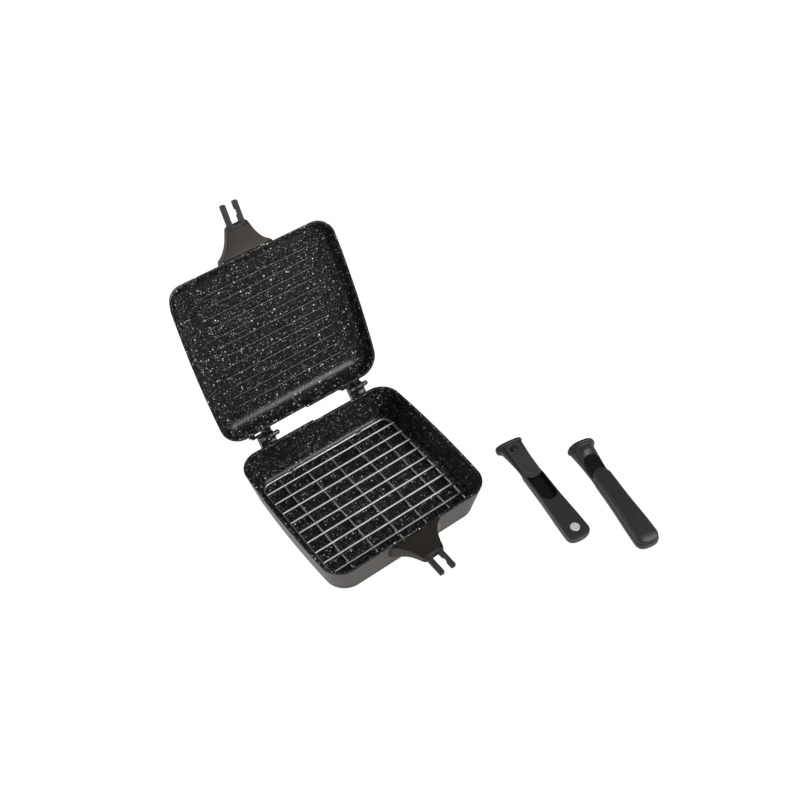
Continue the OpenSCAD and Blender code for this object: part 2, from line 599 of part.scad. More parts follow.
module left_handle_body() { color(BLACK) lay_left() handle_body(); }
module left_handle_grip_cover() { color(BLACK) lay_left() grip_cover(); }
module left_handle_neck_cover() { color(BLACK) lay_left() neck_cover(); }
module left_handle_release_lever() { color(BLACK) lay_left() release_lever(); }
module left_handle_lever_pin() { color(STEEL) lay_left() lever_pin(); }
module left_handle_lever_spring() { color(STEEL) lay_left() lever_spring(); }
module left_handle_screw() { color(STEEL) lay_left() cover_screw(); }
module left_handle_magnet() { color(STEEL) lay_left() magnet(); }
module right_handle_body() { color(BLACK) lay_right() handle_body(); }
module right_handle_grip_cover() { color(BLACK) lay_right() grip_cover(); }
module right_handle_neck_cover() { color(BLACK) lay_right() neck_cover(); }
module right_handle_release_lever() { color(BLACK) lay_right() release_lever(); }
module right_handle_lever_pin() { color(STEEL) lay_right() lever_pin(); }
module right_handle_lever_spring() { color(STEEL) lay_right() lever_spring(); }
module right_handle_screw() { color(STEEL) lay_right() cover_screw(); }
module right_handle_magnet() { color(STEEL) lay_right() magnet(); }

base_pan();
lid_pan();
base_fork();
lid_fork();
base_fork_screws();
lid_fork_screws();
hinge_pins();
rack_border();
rack_long_wires();
rack_cross_wires();
left_handle_body();
left_handle_grip_cover();
left_handle_neck_cover();
left_handle_release_lever();
left_handle_lever_pin();
left_handle_lever_spring();
left_handle_screw();
left_handle_magnet();
right_handle_body();
right_handle_grip_cover();
right_handle_neck_cover();
right_handle_release_lever();
right_handle_lever_pin();
right_handle_lever_spring();
right_handle_screw();
right_handle_magnet();
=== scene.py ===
import math
import random

import bpy
import bmesh
import numpy as np
from mathutils import Matrix, Vector


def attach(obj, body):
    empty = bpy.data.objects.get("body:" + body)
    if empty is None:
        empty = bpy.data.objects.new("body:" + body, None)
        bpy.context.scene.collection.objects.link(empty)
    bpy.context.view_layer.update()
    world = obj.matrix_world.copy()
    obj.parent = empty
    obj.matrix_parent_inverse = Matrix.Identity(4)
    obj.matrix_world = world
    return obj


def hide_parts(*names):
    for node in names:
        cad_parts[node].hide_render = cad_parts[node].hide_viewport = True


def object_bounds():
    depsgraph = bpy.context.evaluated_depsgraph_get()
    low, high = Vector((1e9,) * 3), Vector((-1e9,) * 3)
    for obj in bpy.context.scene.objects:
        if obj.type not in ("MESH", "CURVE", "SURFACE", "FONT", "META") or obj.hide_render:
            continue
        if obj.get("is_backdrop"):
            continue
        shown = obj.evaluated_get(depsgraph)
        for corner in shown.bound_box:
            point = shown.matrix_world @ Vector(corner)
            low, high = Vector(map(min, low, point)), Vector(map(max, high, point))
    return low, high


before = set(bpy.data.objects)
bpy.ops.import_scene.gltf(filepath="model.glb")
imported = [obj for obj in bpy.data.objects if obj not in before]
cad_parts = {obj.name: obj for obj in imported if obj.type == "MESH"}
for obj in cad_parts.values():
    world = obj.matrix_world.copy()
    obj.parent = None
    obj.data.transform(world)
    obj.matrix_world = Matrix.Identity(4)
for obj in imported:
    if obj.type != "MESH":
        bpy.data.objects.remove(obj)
first_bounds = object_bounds()
MM = 0.001
random.seed(7)
S = bpy.context.scene

# ------------------------------------------------------------------ sizes, mm
HA, HB, BOW, CORNER = 95.0, 88.5, 3.1, 21.0
MATE, STEP, GAP, RIM, FLOOR, DRAFT = 42.5, 2.0, 0.4, 3.2, 3.0, 8.2
LOW, HIGH = MATE - STEP / 2, MATE + STEP / 2
LID_IN, LID_OUT, LID_LOW = MATE + 18.2, MATE + 21.6, LOW + GAP
HY, HZ, OPEN = 96.5, 43.9, 114.3
FACE = MATE - 2.35
FORK_T = 3.4
FORK_Z = FACE - 1.2 - FORK_T / 2
END_Y = -HB - 28.6
PIN_R, KNUCKLE_R = 2.5, 4.9
KNUCKLES = [(-59.5, 7.0), (50.3, 7.0)]
EARS = [(-51.9, 9.5), (57.9, 9.5)]
PINS = [(-59.5, 23.8), (50.3, 23.8)]
FLARE = [(0, 0), (4, 1.4), (9, 2.9), (14, 4.9), (18, 7), (22, 9.8), (25.5, 13), (28.6, 17.6)]


def tab(T, u):
    """Smooth curve through the rows of a table."""
    if u <= T[0][0]:
        return T[0][1]
    if u >= T[-1][0]:
        return T[-1][1]
    def slope(i):
        a, b = max(0, i - 1), min(len(T) - 1, i + 1)
        return (T[b][1] - T[a][1]) / (T[b][0] - T[a][0])
    for i in range(len(T) - 1):
        if u <= T[i + 1][0]:
            h = T[i + 1][0] - T[i][0]
            t = (u - T[i][0]) / h
            return (T[i][1] * (1 + 2 * t) * (1 - t) ** 2 + slope(i) * h * t * (1 - t) ** 2
                    + T[i + 1][1] * t * t * (3 - 2 * t) - slope(i + 1) * h * t * t * (1 - t))


def smooth(a, b, x):
    t = min(1.0, max(0.0, (x - a) / (b - a)))
    return t * t * (3 - 2 * t)


# -------------------------------------------------------------- mesh helpers
def make(name, verts, faces, smooth_deg=35):
    m = bpy.data.meshes.new(name)
    m.from_pydata([tuple(float(c) * MM for c in v) for v in verts], [], faces)
    m.validate()
    m.update()
    bm = bmesh.new()
    bm.from_mesh(m)
    bmesh.ops.recalc_face_normals(bm, faces=bm.faces)
    bm.to_mesh(m)
    bm.free()
    o = bpy.data.objects.new(name, m)
    S.collection.objects.link(o)
    return o


def loft(name, rings, close=False):
    """A closed skin over equal rings, with a fan of quads and one n-gon at each end."""
    n, k = len(rings[0]), len(rings)
    verts = [p for r in rings for p in r]
    faces = []
    for j in range(k if close else k - 1):
        j2 = (j + 1) % k
        for i in range(n):
            i2 = (i + 1) % n
            faces.append((j * n + i, j * n + i2, j2 * n + i2, j2 * n + i))
    if not close:
        faces.append(tuple(range(n - 1, -1, -1)))
        faces.append(tuple((k - 1) * n + i for i in range(n)))
    return make(name, verts, faces)


def box(name, x0, y0, z0, x1, y1, z1, bevel=0.0, seg=2):
    v = [(x, y, z) for x in (x0, x1) for y in (y0, y1) for z in (z0, z1)]
    f = [(0, 1, 3, 2), (4, 6, 7, 5), (0, 4, 5, 1), (2, 3, 7, 6), (0, 2, 6, 4), (1, 5, 7, 3)]
    o = make(name, v, f)
    if bevel:
        bevelled(o, bevel, seg)
    return o


def apply_mods(o):
    dg = bpy.context.evaluated_depsgraph_get()
    m = bpy.data.meshes.new_from_object(o.evaluated_get(dg))
    old = o.data
    o.modifiers.clear()
    o.data = m
    if old.users == 0:
        bpy.data.meshes.remove(old)
    return o


def bevelled(o, width, seg=2, angle=30):
    b = o.modifiers.new("bevel", "BEVEL")
    b.width = width * MM
    b.segments = seg
    b.limit_method = "ANGLE"
    b.angle_limit = math.radians(angle)
    b.use_clamp_overlap = True
    return apply_mods(o)


def boolean(a, others, op, solver="MANIFOLD"):
    """a with each of others joined in or cut away; the others are removed."""
    for b in others if isinstance(others, (list, tuple)) else [others]:
        m = a.modifiers.new("b", "BOOLEAN")
        m.operation = op
        m.solver = solver
        m.object = b
        apply_mods(a)
        bpy.data.objects.remove(b)
    return a


def join(name, objs):
    """Objects as one, each keeping its own closed surface."""
    verts, faces = [], []
    for o in objs:
        k = len(verts)
        verts += [tuple(o.matrix_world @ v.co) for v in o.data.vertices]
        faces += [tuple(k + i for i in p.vertices) for p in o.data.polygons]
        bpy.data.objects.remove(o)
    m = bpy.data.meshes.new(name)
    m.from_pydata(verts, [], faces)
    m.update()
    o = bpy.data.objects.new(name, m)
    S.collection.objects.link(o)
    return o


def shade(o, deg=32):
    """Smooth shading, with edges sharper than deg kept sharp."""
    m = o.data
    m.polygons.foreach_set("use_smooth", [True] * len(m.polygons))
    bm = bmesh.new()
    bm.from_mesh(m)
    for e in bm.edges:
        e.smooth = not (len(e.link_faces) == 2 and e.calc_face_angle(0) > math.radians(deg))
    bm.to_mesh(m)
    bm.free()
    return o


def tube(name, path, r, n=12, close=False):
    """A round wire along a path of points, its ends rounded off."""
    P = [Vector(p) for p in path]
    rings = []
    k = len(P)
    up = Vector((0, 0, 1))
    for j in range(k):
        if close:
            t = (P[(j + 1) % k] - P[j - 1]).normalized()
        else:
            t = (P[min(k - 1, j + 1)] - P[max(0, j - 1)]).normalized()
        a = t.cross(up)
        if a.length < 1e-6:
            a = Vector((1, 0, 0))
        a.normalize()
        b = a.cross(t)
        rings.append([P[j] + r * (math.cos(q) * a + math.sin(q) * b) for q in [2 * math.pi * i / n for i in range(n)]])
    if not close:
        def end(j, s):
            t = (P[j] - P[j - s]).normalized() if s > 0 else (P[0] - P[1]).normalized()
            c = P[j]
            R = [p - c for p in rings[j]]
            return [[c + q * math.cos(w) + t * r * 0.6 * math.sin(w) for q in R] for w in (0.5, 1.0, 1.35)]
        rings = end(0, 0)[::-1] + rings + end(k - 1, 1)
    return loft(name, rings, close)


def cyl(name, p0, p1, r0, r1=None, n=48):
    """Cylinder or cone from p0 to p1."""
    a, b = Vector(p0), Vector(p1)
    t = (b - a).normalized()
    u = t.orthogonal().normalized()
    v = t.cross(u)
    r1 = r0 if r1 is None else r1
    ring = lambda c, r: [c + r * (math.cos(q) * u + math.sin(q) * v) for q in [2 * math.pi * i / n for i in range(n)]]
    return loft(name, [ring(a, r0), ring(b, r1)])


def lathe(name, origin, axis, prof, n=48):
    """Turned part: prof is a list of (along, radius) from one end to the other."""
    c, t = Vector(origin), Vector(axis).normalized()
    u = t.orthogonal().normalized()
    v = t.cross(u)
    return loft(name, [[c + t * s + r * (math.cos(q) * u + math.sin(q) * v) for q in [2 * math.pi * i / n for i in range(n)]] for s, r in prof])


def prism(name, pts, axis, a0, a1, bevel=0.0, seg=2):
    """A polygon in the plane across axis, pushed from a0 to a1. pts are (u, v): yz for x, xz for y, xy for z."""
    def p(u, v, w):
        return {"x": (w, u, v), "y": (u, w, v), "z": (u, v, w)}[axis]
    o = loft(name, [[p(u, v, a0) for u, v in pts], [p(u, v, a1) for u, v in pts]])
    if bevel:
        bevelled(o, bevel, seg)
    return o


def moved(o, M):
    """The mesh itself carried by a matrix whose lengths are in mm."""
    M = M.copy()
    M.translation = M.translation * MM
    o.data.transform(M)
    o.data.update()
    if M.determinant() < 0:
        o.data.flip_normals()
    return o


# ------------------------------------------------------------------ the pans
def lin(T, u):
    if u <= T[0][0]:
        return T[0][1]
    for (a, p), (b, q) in zip(T, T[1:]):
        if u <= b:
            return p + (q - p) * (u - a) / (b - a)
    return T[-1][1]


def wall(z):
    return DRAFT * (1 - z / MATE)


def ring_params(side=9, corner=12):
    """Each point of a ring as (kind, value): its place on a side or in a corner."""
    mid = [1.3, 0.95, 0.78, 0.62, 0.45, 0.15, -0.02, -0.18, -0.35, -0.9]
    P = []
    P += [("E", -1 + 2 * i / (2 * side)) for i in range(2 * side)]
    P += [("c", 0, 90 * i / corner) for i in range(corner + 1)]
    P += [("N", 1 - i / side) for i in range(1, side)] + [("n", m) for m in mid] + [("N", -i / side) for i in range(1, side)]
    P += [("c", 1, 90 + 90 * i / corner) for i in range(corner + 1)]
    P += [("W", 1 - 2 * i / (2 * side)) for i in range(1, 2 * side)]
    P += [("c", 2, 180 + 90 * i / corner) for i in range(corner + 1)]
    P += [("S", -1 + i / side) for i in range(1, side)] + [("s", -m) for m in mid] + [("S", i / side) for i in range(1, side)]
    P += [("c", 3, 270 + 90 * i / corner) for i in range(corner)]
    return P


PARAMS = ring_params()


def ring(d, z, dr=0.0):
    """A rounded rectangle inset by d at height z, its short sides bulged. d and z may depend on x and z."""
    out = []
    for p in PARAMS:
        def place(dd):
            A, B, r = HA - BOW - dd, HB - dd, max(4.0, CORNER - dr)
            k = p[0]
            if k == "c":
                cx, cy = [(A - r, B - r), (-A + r, B - r), (-A + r, -B + r), (A - r, -B + r)][p[1]]
                x, y = cx + r * math.cos(math.radians(p[2])), cy + r * math.sin(math.radians(p[2]))
            elif k == "E":
                x, y = A, p[1] * (B - r)
            elif k == "W":
                x, y = -A, p[1] * (B - r)
            elif k in "NS":
                x, y = p[1] * (A - r), (B if k == "N" else -B)
            else:
                x, y = p[1], (B if k == "n" else -B)
            x += math.copysign(1, x) * BOW * max(0, 1 - (y / B) ** 2) * min(1, abs(x) / (A - r)) if x else 0
            return x, y
        if callable(z):
            x, y = place(d if not callable(d) else 2.0)
            zz = z(x)
        else:
            zz = z
        x, y = place(d(zz) if callable(d) else d)
        out.append((x, y, zz))
    return out


def base_rim(x):
    return LOW + STEP * (1 - smooth(-0.35, 0.15, x))


def lid_rim(x):
    return LID_LOW + STEP * (1 - smooth(0.45, 0.95, x))


def base_out(z):
    return lin([(6, wall(6)), (21.25, wall(21.25)), (42.1, 0.2), (43.1, 0.1), (45, 0.1)], z)


def base_in(z):
    return lin([(12, wall(12) + 2.8), (41.5, 3.5), (43.0, 3.15), (43.5, 3.05)], z)


def lid_out(z):
    return lin([(41.9, 0.15), (42.25, 0.15), (43.1, 0.5), (57.1, 5.5)], z)


def lid_in(z):
    return lin([(42.4, 3.15), (44.9, 3.6), (47.7, 5.4)], z)


def base_shell():
    R = [ring(wall(6) + 12, 0.0, 16)]
    for i in range(9):
        t = math.radians(90 * i / 8)
        q = 6 * (1 - math.sin(t))
        R.append(ring(wall(6) + q, 6 * (1 - math.cos(t)), q))
    R += [ring(base_out, z) for z in (13, 21.25, 30, 36)]
    for c, e in [(3.2, 0), (1.6, 0), (0.9, 0.02), (0.45, 0.14), (0.16, 0.36), (0.03, 0.66), (0, 0.95)]:
        R.append(ring(lambda z, e=e: base_out(z) + e, lambda x, c=c: base_rim(x) - c, e * 0.5))
    for c, e in [(0, 0.95), (0.03, 0.66), (0.16, 0.36), (0.45, 0.14), (0.9, 0.02), (1.6, 0), (3.2, 0)]:
        R.append(ring(lambda z, e=e: base_in(z) - e, lambda x, c=c: base_rim(x) - c, 3))
    R += [ring(base_in, z, 3) for z in (34, 28, 20)]
    for i in range(11):
        t = math.radians(90 * i / 10)
        R.append(ring(wall(12) + 2.8 + 9 * (1 - math.cos(t)), FLOOR + 9 * (1 - math.sin(t)), 3 + 9 * (1 - math.cos(t))))
    R += [ring(wall(12) + 2.8 + 9.8, FLOOR, 13), ring(wall(12) + 2.8 + 16, FLOOR, 16)]
    return loft("v_base_pan", R)


def lid_shell():
    R = [ring(12.5 + 6, LID_OUT, 14), ring(12.5 + 0.8, LID_OUT, 9.5)]
    for i in range(11):
        t = math.radians(90 * i / 10)
        R.append(ring(12.5 - 7 * math.sin(t), LID_OUT - 7 * (1 - math.cos(t)), 4 + 5 * math.cos(t)))
    R += [ring(lid_out, z, 2) for z in (54, 51, 49)]
    for c, e in [(3.2, 0), (1.6, 0), (0.9, 0.02), (0.45, 0.14), (0.16, 0.36), (0.03, 0.66), (0, 0.95)]:
        R.append(ring(lambda z, e=e: lid_out(z) + e, lambda x, c=c: lid_rim(x) + c, e * 0.5))
    for c, e in [(0, 0.95), (0.03, 0.66), (0.16, 0.36), (0.45, 0.14), (0.9, 0.02), (1.6, 0), (2.4, 0)]:
        R.append(ring(lambda z, e=e: lid_in(z) - e, lambda x, c=c: lid_rim(x) + c, 3))
    for i in range(15):
        t = math.radians(90 * i / 14)
        R.append(ring(5.4 + 15 * (1 - math.cos(t)), LID_IN - 13 * (1 - math.sin(t)), 5 + 8 * math.sin(t)))
    R += [ring(21.2, LID_IN, 13.5), ring(28, LID_IN, 15)]
    return loft("v_lid_pan", R)


def bracket(deep):
    """The cast bracket: rounded sections from its end to inside the pan's wall."""
    prof = [(0, 7.2), (3, 7.5), (9, 8.6 + 0.6 * deep), (18, 9.4 + 2.6 * deep), (25.6, 10 + 5.5 * deep), (34.6, 11 + 8 * deep), (37, 11 + 8 * deep)]
    S_ = [0, 0.12, 0.35, 0.7, 1.2, 1.8, 2.4, 3.2, 4.5] + [6 + 1.6 * i for i in range(15)] + [30.4, 33, 36.6]
    R = []
    for s in S_:
        w = 11 + tab(FLARE, s) + (0 if s >= 2.3 else -2.3 + math.sqrt(max(0, 2.3 ** 2 - (2.3 - s) ** 2)))
        if s > 28.6:
            w = 28.6 + (s - 28.6) * 0.2
        e = 0.9 - math.sqrt(max(0.0, 0.81 - (0.9 - s) ** 2)) if s < 0.9 else 0
        top, bot = FACE - e, FACE - tab(prof, s) + e
        rt, rb = 0.9, min(2.6, (top - bot) / 2 - 0.3)
        out = 0.5 * 0.9  # the sides lean out towards the underside
        sec = []
        for a in range(0, 91, 15):
            q = math.radians(a)
            sec.append((w - rt + rt * math.sin(q), top - rt + rt * math.cos(q)))
        for a in range(0, 91, 15):
            q = math.radians(a)
            sec.append((w + out - rb + rb * math.cos(q), bot + rb - rb * math.sin(q)))
        sec = sec + [(-x, z) for x, z in reversed(sec)]
        R.append([(x, END_Y + s, z) for x, z in sec])
    return loft("bracket", R)


def pocket():
    y0, h = END_Y - 4, FORK_T / 2 + 0.04
    return [box("c", -10.25, y0, FORK_Z - h, 10.25, y0 + 16.05, FORK_Z + h),
            box("c", -10.25, y0, FORK_Z, 10.25, y0 + 8.2, FORK_Z + 20)]


def screw_holes():
    out = []
    for x in (-6, 6):
        out.append(cyl("c", (x, END_Y + 8, FORK_Z - 12), (x, END_Y + 8, FORK_Z), 1.55, n=24))
        out.append(cyl("c", (x, END_Y + 8, FORK_Z - 22), (x, END_Y + 8, FORK_Z - FORK_T / 2 - 2.3), 2.9, n=36))
    return out


def barrel(name, x0, l, r, c=0.5):
    q = [(0, r - c), (0.15 * c, r - 0.45 * c), (0.45 * c, r - 0.15 * c), (c, r)]
    return lathe(name, (x0, HY, HZ), (1, 0, 0), q + [(l - a, b) for a, b in reversed(q)], 64)


def bore(x0, l):
    return cyl("c", (x0 - 1, HY, HZ), (x0 + l + 1, HY, HZ), PIN_R + 0.06, n=48)


def knuckle(x0, l):
    web = prism("k", [(HB - 2.6, MATE - 2.6), (HY - 2.5, MATE - 0.7), (HY + 3.4, HZ - 3.5), (HY - 1, HZ - 9), (HB - 4.8, MATE - 18.1)], "x", x0 + 0.02, x0 + l - 0.02, 0.4)
    return boolean(barrel("k", x0, l, KNUCKLE_R), web, "UNION")


def turned(pts, deg):
    """Points in the yz plane turned about the hinge axis."""
    a = math.radians(deg)
    return [(HY + u * math.cos(a) - v * math.sin(a), HZ + u * math.sin(a) + v * math.cos(a)) for u, v in pts]


def ear(x0, l):
    arm = prism("e", [(HB - 2.2, MATE + 3.1), (HB - 4.5, MATE + 16.1), (HY - 3, MATE + 11.6), (HY + 3.6, HZ + 3.3),
                      (HY + 4.6, HZ - 1.6), (HY - 1.5, HZ + 0.5), (HY - 4.4, MATE + 3.1)], "x", x0 + 0.03, x0 + l - 0.03, 0.35)
    heel = prism("e", turned([(0, -4.85), (0, 3.2), (-(HY - HB) + 0.35, -3.2), (-(HY - HB) + 0.7, -6.6), (-3.6, -7.2)], OPEN),
                 "x", x0 + 0.06, x0 + l - 0.06, 0.35)
    return boolean(barrel("e", x0, l, KNUCKLE_R, 0.4), [arm, heel], "UNION")


def flip(o):
    """From the base's side of the mating plane to the lid's."""
    return moved(o, Matrix.Translation((0, 0, 2 * MATE + GAP)) @ Matrix.Scale(-1, 4, (0, 0, 1)))


OPENED = Matrix.Translation((0, HY, HZ)) @ Matrix.Rotation(math.radians(-OPEN), 4, "X") @ Matrix.Translation((0, -HY, -HZ))


def ridge(y):
    R = []
    for x, f in [(-67, 0.05), (-66.4, 0.4), (-65.6, 0.72), (-64.6, 0.93), (-63.4, 1), (-40, 1), (-13, 1), (13, 1), (40, 1), (63.4, 1), (64.6, 0.93), (65.6, 0.72), (66.4, 0.4), (67, 0.05)]:
        sec = [(x, y + 1.7 * math.cos(math.radians(a)) * (0.75 + 0.25 * f), LID_IN - 1.3 * f * math.sin(math.radians(a)) ** 1.15) for a in range(0, 181, 15)]
        R.append([(x, y + 1.7, LID_IN + 0.8)] + sec + [(x, y - 1.7, LID_IN + 0.8)])
    return loft("r", R)


def paint(o, inside):
    """Two slots: 0 outside, 1 non-stick, by where each face lies."""
    m = o.data
    m.materials.clear()
    m.materials.append(None)
    m.materials.append(None)
    for p in m.polygons:
        c = p.center / MM
        p.material_index = 1 if inside(c, p.normal) else 0


def inset(c):
    """How far inside the pans' outline a point lies."""
    A, B, r = HA - BOW + BOW * max(0.0, 1 - (c[1] / HB) ** 2), HB, CORNER
    qx, qy = abs(c[0]) - (A - r), abs(c[1]) - (B - r)
    return r - math.hypot(max(qx, 0), max(qy, 0)) - min(0.0, max(qx, qy))


# The rim's top and everything inside it is coated
def outward(c):
    A, B = HA - CORNER, HB - CORNER
    v = Vector((math.copysign(max(abs(c[0]) - A, 0), c[0]), math.copysign(max(abs(c[1]) - B, 0), c[1]), 0))
    if v.length < 1e-6:
        v = Vector((0, math.copysign(1, c[1]), 0)) if B - abs(c[1]) < A - abs(c[0]) else Vector((math.copysign(1, c[0]), 0, 0))
    return v.normalized()


def base_inside(c, n):
    if c[1] > HB - 2 and inset(c) < 0.25 and c[2] > HZ - 12 and any(a - 0.2 < c[0] < a + l + 0.2 for a, l in KNUCKLES):
        return True
    if inset(c) < 0.25 or c[2] < 2.9:
        return False
    return n.dot(outward(c)) < -0.05 or n[2] > 0.35 or (c[2] > LOW - 0.6 and abs(c[0]) < 0.6 and inset(c) < 3.2)


def lid_inside(c, n):
    if c[1] > HB - 2 and inset(c) < 0.25 and c[2] < HIGH + 16 and any(a - 15 < c[0] < a + l + 0.2 for a, l in EARS):
        return True
    if inset(c) < 0.25 or c[2] > 60.9:
        return False
    return n.dot(outward(c)) < -0.05 or n[2] < -0.35 or (inset(c) > 19 and c[2] > 59) or (c[2] < LID_LOW + STEP + 0.6 and 0.2 < c[0] < 1.2 and inset(c) < 3.2)


base = base_shell()
br = bracket(1)
boolean(br, loft("c", [ring(DRAFT + 0.5, -1, 6), ring(1.6, MATE + 4.1, 1)]), "DIFFERENCE")
boolean(base, [br] + [knuckle(*k) for k in KNUCKLES], "UNION")
boolean(base, pocket() + screw_holes() + [bore(*k) for k in KNUCKLES], "DIFFERENCE")
paint(base, base_inside)

lid = lid_shell()
br = bracket(0)
boolean(br, loft("c", [ring(5.5 + 6, MATE - 18.2 - 3, 8), ring(1.6, MATE + 4.1, 1)]), "DIFFERENCE")
flip(br)
bars = []
for x0, l in EARS:
    z = MATE + 7.3
    bars.append(box("s", x0 - 14.6, HB - 3, z, x0 - 8, HB + 4.8, z + 1.7, 0.35))
    bars.append(box("s", x0 - 12, HB + 4, z, x0 + 0.5, HB + 6.7, z + 1.7, 0.35))
boolean(lid, [br] + [ear(*e) for e in EARS] + bars + [ridge((i - 5.5) * 10.9 - 0.6) for i in range(12)], "UNION")
boolean(lid, [flip(c) for c in pocket() + screw_holes()] + [bore(*e) for e in EARS], "DIFFERENCE")
paint(lid, lid_inside)
moved(lid, OPENED)


# ------------------------------------------------------------- forks, screws
def arc(cx, cy, r, a0, a1, n=8):
    return [(cx + r * math.cos(math.radians(a0 + (a1 - a0) * i / n)), cy + r * math.sin(math.radians(a0 + (a1 - a0) * i / n))) for i in range(n + 1)]


def fork(name):
    """Flat plate with two prongs, the notch on the inner side of the prong at +X."""
    h, g, y1 = 5.4 / 2, 6.5, END_Y - 21
    def tip(c):
        return arc(c - h + 1.4, y1 + 1.4, 1.4, 180, 270, 6) + arc(c + h - 1.4, y1 + 1.4, 1.4, 270, 360, 6)
    pts = [(10.2, END_Y + 12), (-10.2, END_Y + 12), (-10.2, END_Y + 1.6), (-9.9, END_Y + 1.2), (-g - h - 0.6, END_Y + 1.2), (-g - h, END_Y + 0.6)]
    pts += tip(-g)
    pts += [(-g + h, END_Y + 0.2)] + arc(-g + h + 1, END_Y + 0.2, 1, 180, 90, 4)[1:]
    pts += arc(g - h - 1, END_Y + 0.2, 1, 90, 0, 4)
    pts += [(g - h, END_Y - 6.2), (g - h + 1.25, END_Y - 7.2), (g - h + 1.25, END_Y - 11.4), (g - h, END_Y - 13.2)]
    pts += tip(g)
    pts += [(g + h, END_Y + 0.6), (g + h + 0.6, END_Y + 1.2), (9.9, END_Y + 1.2), (10.2, END_Y + 1.6)]
    o = prism(name, pts[::-1], "z", FORK_Z - FORK_T / 2, FORK_Z + FORK_T / 2, 0.55, 3)
    return boolean(o, [cyl("c", (x, END_Y + 8, FORK_Z - 20), (x, END_Y + 8, FORK_Z + 20), 1.5, n=24) for x in (-6, 6)], "DIFFERENCE")


def screws(name):
    out = []
    for x in (-6, 6):
        z = FORK_Z - FORK_T / 2
        o = lathe("s", (x, END_Y + 8, 0), (0, 0, 1), [(z - 3.7, 2.0), (z - 3.62, 2.15), (z - 3.3, 2.6), (z - 3.1, 2.7), (z - 2.42, 2.7), (z - 2.33, 2.62), (z - 2.32, 1.47), (z + 3.0, 1.47), (z + FORK_T - 0.1, 1.3)], 40)
        out.append(boolean(o, [box("c", x - a, END_Y + 8 - b, z - 4, x + a, END_Y + 8 + b, z - 3) for a, b in ((1.6, 0.3), (0.3, 1.6))], "DIFFERENCE"))
    return join(name, out)


base_fork, lid_fork = fork("v_base_fork"), moved(flip(fork("v_lid_fork")), OPENED)
base_screws, lid_screws = screws("v_base_fork_screws"), moved(flip(screws("v_lid_fork_screws")), OPENED)

pins = join("v_hinge_pins", [lathe("p", (x0, HY, HZ), (1, 0, 0), [(0, PIN_R - 0.4), (0.12, PIN_R - 0.12), (0.4, PIN_R), (l - 1.5, PIN_R), (l - 1.1, PIN_R - 0.12), (l - 0.5, PIN_R - 0.5), (l - 0.12, PIN_R - 0.95), (l, PIN_R - 1.4)], 48) for x0, l in PINS])

# ------------------------------------------------------------------- the rack
RX, RY, DB, DL, DC, DIP, RR = 78.5, 72.0, 3.0, 2.5, 2.0, 1.55, 9.0
RZ = FLOOR + DB / 2 + 1.9
LZ = RZ + DB / 2 + DL / 2 - 0.12
CZ = LZ - DL / 2 - DC / 2 + 0.12
VEE = 4.2


def border_path():
    P = []
    def side(sy):
        xs = [-60, -50] + [-42.5 + VEE * i / 6 for i in range(-6, 7)] + [-30, -10, 10, 30] + [42.5 + VEE * i / 6 for i in range(-6, 7)] + [50, 60]
        out = []
        for x in xs:
            u = min(abs(x - 42.5), abs(x + 42.5)) / VEE
            out.append((x, sy * RY, RZ - (DIP * (1 + math.cos(math.pi * u)) / 2 if u < 1 else 0)))
        return out
    P += side(-1)
    P += [(x, y, RZ) for x, y in arc(RX - RR, -RY + RR, RR, -90, 0, 10)]
    P += [(RX, y, RZ) for y in (-40, -20, 0, 20, 40)]
    P += [(x, y, RZ) for x, y in arc(RX - RR, RY - RR, RR, 0, 90, 10)]
    P += side(1)[::-1]
    P += [(x, y, RZ) for x, y in arc(-RX + RR, RY - RR, RR, 90, 180, 10)]
    P += [(-RX, y, RZ) for y in (40, 20, 0, -20, -40)]
    P += [(x, y, RZ) for x, y in arc(-RX + RR, -RY + RR, RR, 180, 270, 10)]
    return P


border = tube("v_rack_border", border_path(), DB / 2, 16, close=True)
longs, crosses = [], []
for i in range(9):
    y = (i - 4) * 14.65
    e = RX + DB / 2 - 0.3 - (RR - math.sqrt(RR ** 2 - (abs(y) - RY + RR) ** 2) if abs(y) > RY - RR else 0)
    longs.append(tube("w", [(-e + 0.6, y, LZ), (-e + 1.2, y, LZ), (-20, y, LZ), (20, y, LZ), (e - 1.2, y, LZ), (e - 0.6, y, LZ)], DL / 2, 14))
for i in range(5):
    x, e = (i - 2) * 29.0, RY - DB / 2 + 0.1
    crosses.append(tube("w", [(x, -e + 0.5, CZ), (x, -e + 1, CZ), (x, -20, CZ), (x, 20, CZ), (x, e - 1, CZ), (x, e - 0.5, CZ)], DC / 2, 14))
longs, crosses = join("v_rack_long_wires", longs), join("v_rack_cross_wires", crosses)

# ---------------------------------------------------------------- the handles
HL, FW, FH = 134.0, 31.0, 18.4
HW = [(0, 13.4), (5, 13), (20, 11.5), (36, 10.6), (52, 10.3), (80, 10.6), (108, 12), (HL - 9, 12.6)]
UNDER = [(0, 1.4), (44, 1.4), (53, 0), (HL, 0)]
SEAM = 6.6
TOP = [(0, 16.4), (8, 15.8), (18, 13.2), (27, 9.2), (33.3, SEAM), (34.3, SEAM), (HL, SEAM)]
EXPO = [(0, 2.3), (20, 2.6), (38, 5), (48, 9), (HL, 9)]
CROWN = [(34.5, 11), (44, 12.2), (58, 13.1), (95, 13.8), (116, 13.5), (HL - 8, 12.7), (HL, 10.4)]
TAIL, NOSE = 10.5, 11.0
PIVOT = (44.0, 5.1)


def tail_f(u, end=HL):
    return max(0.012, 1 - max(0.0, (u - end + TAIL) / TAIL) ** 3) ** (1 / 3)


